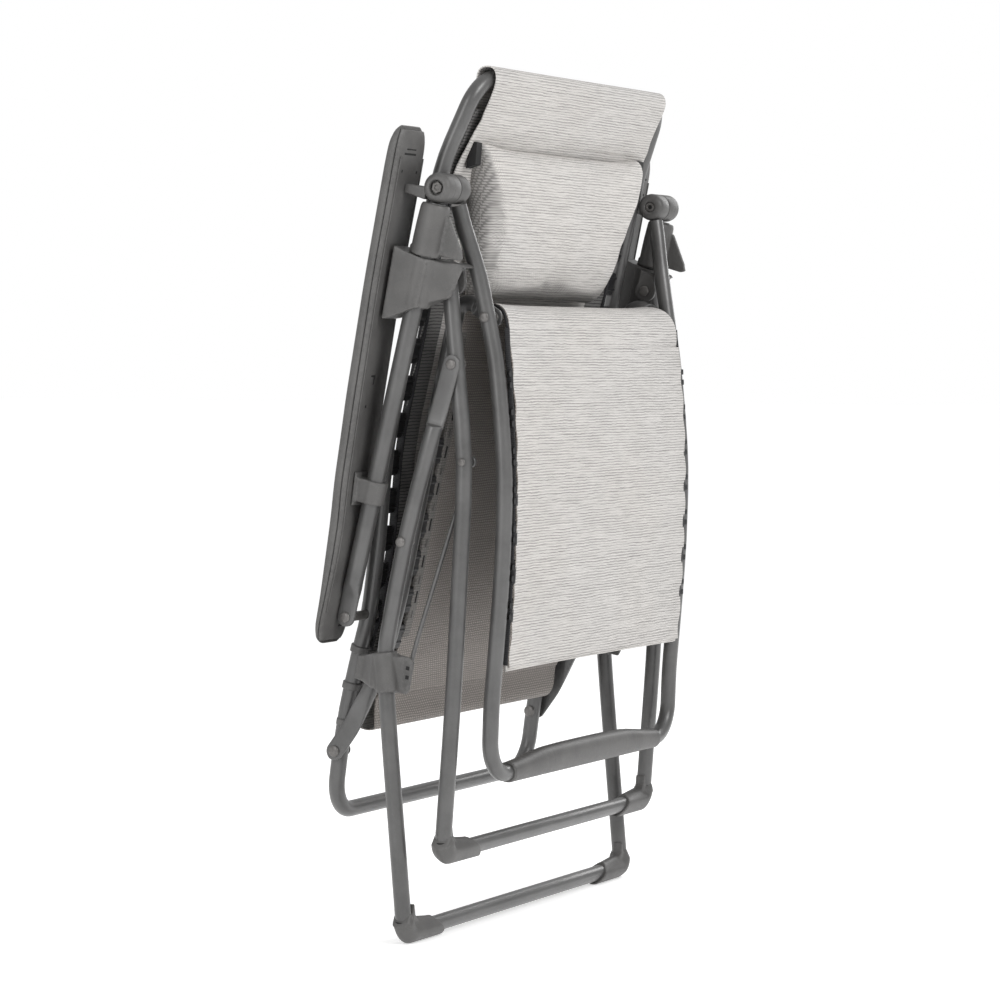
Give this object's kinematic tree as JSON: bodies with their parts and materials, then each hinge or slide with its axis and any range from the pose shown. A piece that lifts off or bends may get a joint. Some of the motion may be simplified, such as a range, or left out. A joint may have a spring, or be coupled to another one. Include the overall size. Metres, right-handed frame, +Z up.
{
  "type": "folding zero gravity recliner",
  "caption": "Tube-frame lounge recliner, folded flat and standing: U-shaped back, seat, leg-rest and leg frames on pivots, sliding armrest brackets, mesh sling and head pillow.",
  "frame": {"origin": "middle of the footprint, at floor level, of the folded chair standing on its rear floor bar", "axes": "+Z up, +Y towards the back frame (the seat and leg-rest face -Y), +X towards the chair's own left"},
  "size_m": [0.676, 0.2296, 0.9564],
  "materials": {
    "frame_paint": "fine-textured satin warm grey paint on round steel tube",
    "grey_plastic": "fine-grained matt grey moulding",
    "fastener": "satin grey painted rivet or bolt",
    "black_plastic": "matt black clip",
    "mesh_fabric": "woven mesh, off-white with fine irregular dark cross threads"
  },
  "bodies": {
    "front_legs": {"front_leg_tube": "frame_paint", "front_foot_cap_left": "grey_plastic", "front_foot_cap_right": "grey_plastic", "leg_apex_rivet_left": "fastener", "leg_apex_rivet_right": "fastener", "slider_bolt_left": "fastener", "slider_bolt_right": "fastener", "stay_rivet_left": "fastener", "stay_rivet_right": "fastener"},
    "rear_legs": {"rear_leg_tube": "frame_paint", "rear_foot_cap_left": "grey_plastic", "rear_foot_cap_right": "grey_plastic", "seat_pivot_pin_left": "fastener", "seat_pivot_pin_right": "fastener"},
    "slider_left": {"slider_bracket_left": "grey_plastic"},
    "slider_right": {"slider_bracket_right": "grey_plastic"},
    "lock_lever_left": {"lock_lever_left": "grey_plastic"},
    "lock_lever_right": {"lock_lever_right": "grey_plastic"},
    "back": {"back_upper_tube": "frame_paint", "back_lower_tube": "frame_paint", "back_panel": "mesh_fabric", "head_pillow": "mesh_fabric", "head_pocket": "mesh_fabric", "back_clips_left": "black_plastic", "back_clips_right": "black_plastic", "hip_rivet_left": "fastener", "hip_rivet_right": "fastener", "armrest_rear_rivet_left": "fastener", "armrest_rear_rivet_right": "fastener"},
    "seat": {"seat_tube_left": "frame_paint", "seat_tube_right": "frame_paint", "seat_panel": "mesh_fabric", "seat_clips_left": "black_plastic", "seat_clips_right": "black_plastic", "knee_rivet_left": "fastener", "knee_rivet_right": "fastener"},
    "legrest": {"legrest_tube": "frame_paint", "footrest_grip": "grey_plastic", "legrest_panel": "mesh_fabric", "legrest_clips_left": "black_plastic", "legrest_clips_right": "black_plastic", "pivot_cap_left": "grey_plastic", "pivot_cap_right": "grey_plastic"},
    "armrest_left": {"armrest_shell_left": "grey_plastic", "armrest_base_left": "grey_plastic", "armrest_rail_left": "frame_paint", "armrest_clip_left": "grey_plastic", "rail_end_fitting_left": "grey_plastic", "pivot_bolt_left": "fastener"},
    "stay_rod_left": {"stay_rod_left": "frame_paint"},
    "stay_collar_left": {"stay_collar_left": "grey_plastic"},
    "armrest_right": {"armrest_shell_right": "grey_plastic", "armrest_base_right": "grey_plastic", "armrest_rail_right": "frame_paint", "armrest_clip_right": "grey_plastic", "rail_end_fitting_right": "grey_plastic", "pivot_bolt_right": "fastener"},
    "stay_rod_right": {"stay_rod_right": "frame_paint"},
    "stay_collar_right": {"stay_collar_right": "grey_plastic"}
  },
  "joints": [
    {"name": "slider_left_tilt", "type": "hinge", "parent": "front_legs", "child": "slider_left", "pos_m": [0.271, -0.0511, 0.719], "axis": [1, 0, 0], "range_deg": [-1, 93.5]},
    {"name": "armrest_left_slide", "type": "slide", "parent": "slider_left", "child": "armrest_left", "axis": [0, -0.2386, 0.9711], "range_m": [-0.001, 0.021]},
    {"name": "back_tilt", "type": "hinge", "parent": "armrest_left", "child": "back", "pos_m": [0.28, 0.0584, 0.355], "axis": [1, 0, 0], "range_deg": [-101, 1]},
    {"name": "seat_fold", "type": "hinge", "parent": "back", "child": "seat", "pos_m": [0, 0.0964, 0.203], "axis": [1, 0, 0], "range_deg": [0, 90]},
    {"name": "legrest_swing", "type": "hinge", "parent": "seat", "child": "legrest", "pos_m": [0, -0.0851, 0.682], "axis": [1, 0, 0], "range_deg": [-79.5, 1]},
    {"name": "armrest_right_tilt", "type": "hinge", "parent": "back", "child": "armrest_right", "pos_m": [-0.28, 0.0584, 0.355], "axis": [1, 0, 0], "range_deg": [-1, 101]},
    {"name": "slider_right_slide", "type": "slide", "parent": "armrest_right", "child": "slider_right", "axis": [0, -0.2386, 0.9711], "range_m": [-0.021, 0.001]},
    {"name": "rear_legs_spread", "type": "hinge", "parent": "front_legs", "child": "rear_legs", "pos_m": [0, -0.0591, 0.631], "axis": [1, 0, 0], "range_deg": [-1, 73.5]},
    {"name": "stay_rod_left_swing", "type": "hinge", "parent": "front_legs", "child": "stay_rod_left", "pos_m": [0.258, -0.0699, 0.525], "axis": [1, 0, 0], "range_deg": [-1, 91.89]},
    {"name": "stay_collar_left_slide", "type": "slide", "parent": "rear_legs", "child": "stay_collar_left", "axis": [0, -0.1953, 0.9807], "range_m": [-0.001, 0.111]},
    {"name": "stay_rod_right_swing", "type": "hinge", "parent": "front_legs", "child": "stay_rod_right", "pos_m": [-0.258, -0.0699, 0.525], "axis": [1, 0, 0], "range_deg": [-1, 91.89]},
    {"name": "stay_collar_right_slide", "type": "slide", "parent": "rear_legs", "child": "stay_collar_right", "axis": [0, -0.1953, 0.9807], "range_m": [-0.001, 0.111]},
    {"name": "lock_lever_left_turn", "type": "hinge", "parent": "slider_left", "child": "lock_lever_left", "pos_m": [0.305, 0.0584, 0.355], "axis": [0, -0.2386, 0.9711], "range_deg": [0, 60]},
    {"name": "lock_lever_right_turn", "type": "hinge", "parent": "slider_right", "child": "lock_lever_right", "pos_m": [-0.305, 0.0584, 0.355], "axis": [0, 0.2386, -0.9711], "range_deg": [0, 60]}
  ],
  "couplings": [
    {"joint": "slider_left_tilt", "follows": "seat_fold", "ratio": 1.028},
    {"joint": "armrest_left_slide", "follows": "seat_fold", "m_per_rad": 0.012478},
    {"joint": "back_tilt", "follows": "seat_fold", "ratio": -1.108},
    {"joint": "legrest_swing", "follows": "seat_fold", "ratio": -0.87356},
    {"joint": "armrest_right_tilt", "follows": "seat_fold", "ratio": 1.108},
    {"joint": "slider_right_slide", "follows": "seat_fold", "m_per_rad": -0.012478},
    {"joint": "rear_legs_spread", "follows": "seat_fold", "ratio": 0.80756},
    {"joint": "stay_rod_left_swing", "follows": "seat_fold", "ratio": 1.0099},
    {"joint": "stay_collar_left_slide", "follows": "seat_fold", "m_per_rad": 0.070028},
    {"joint": "stay_rod_right_swing", "follows": "seat_fold", "ratio": 1.0099},
    {"joint": "stay_collar_right_slide", "follows": "seat_fold", "m_per_rad": 0.070028}
  ]
}
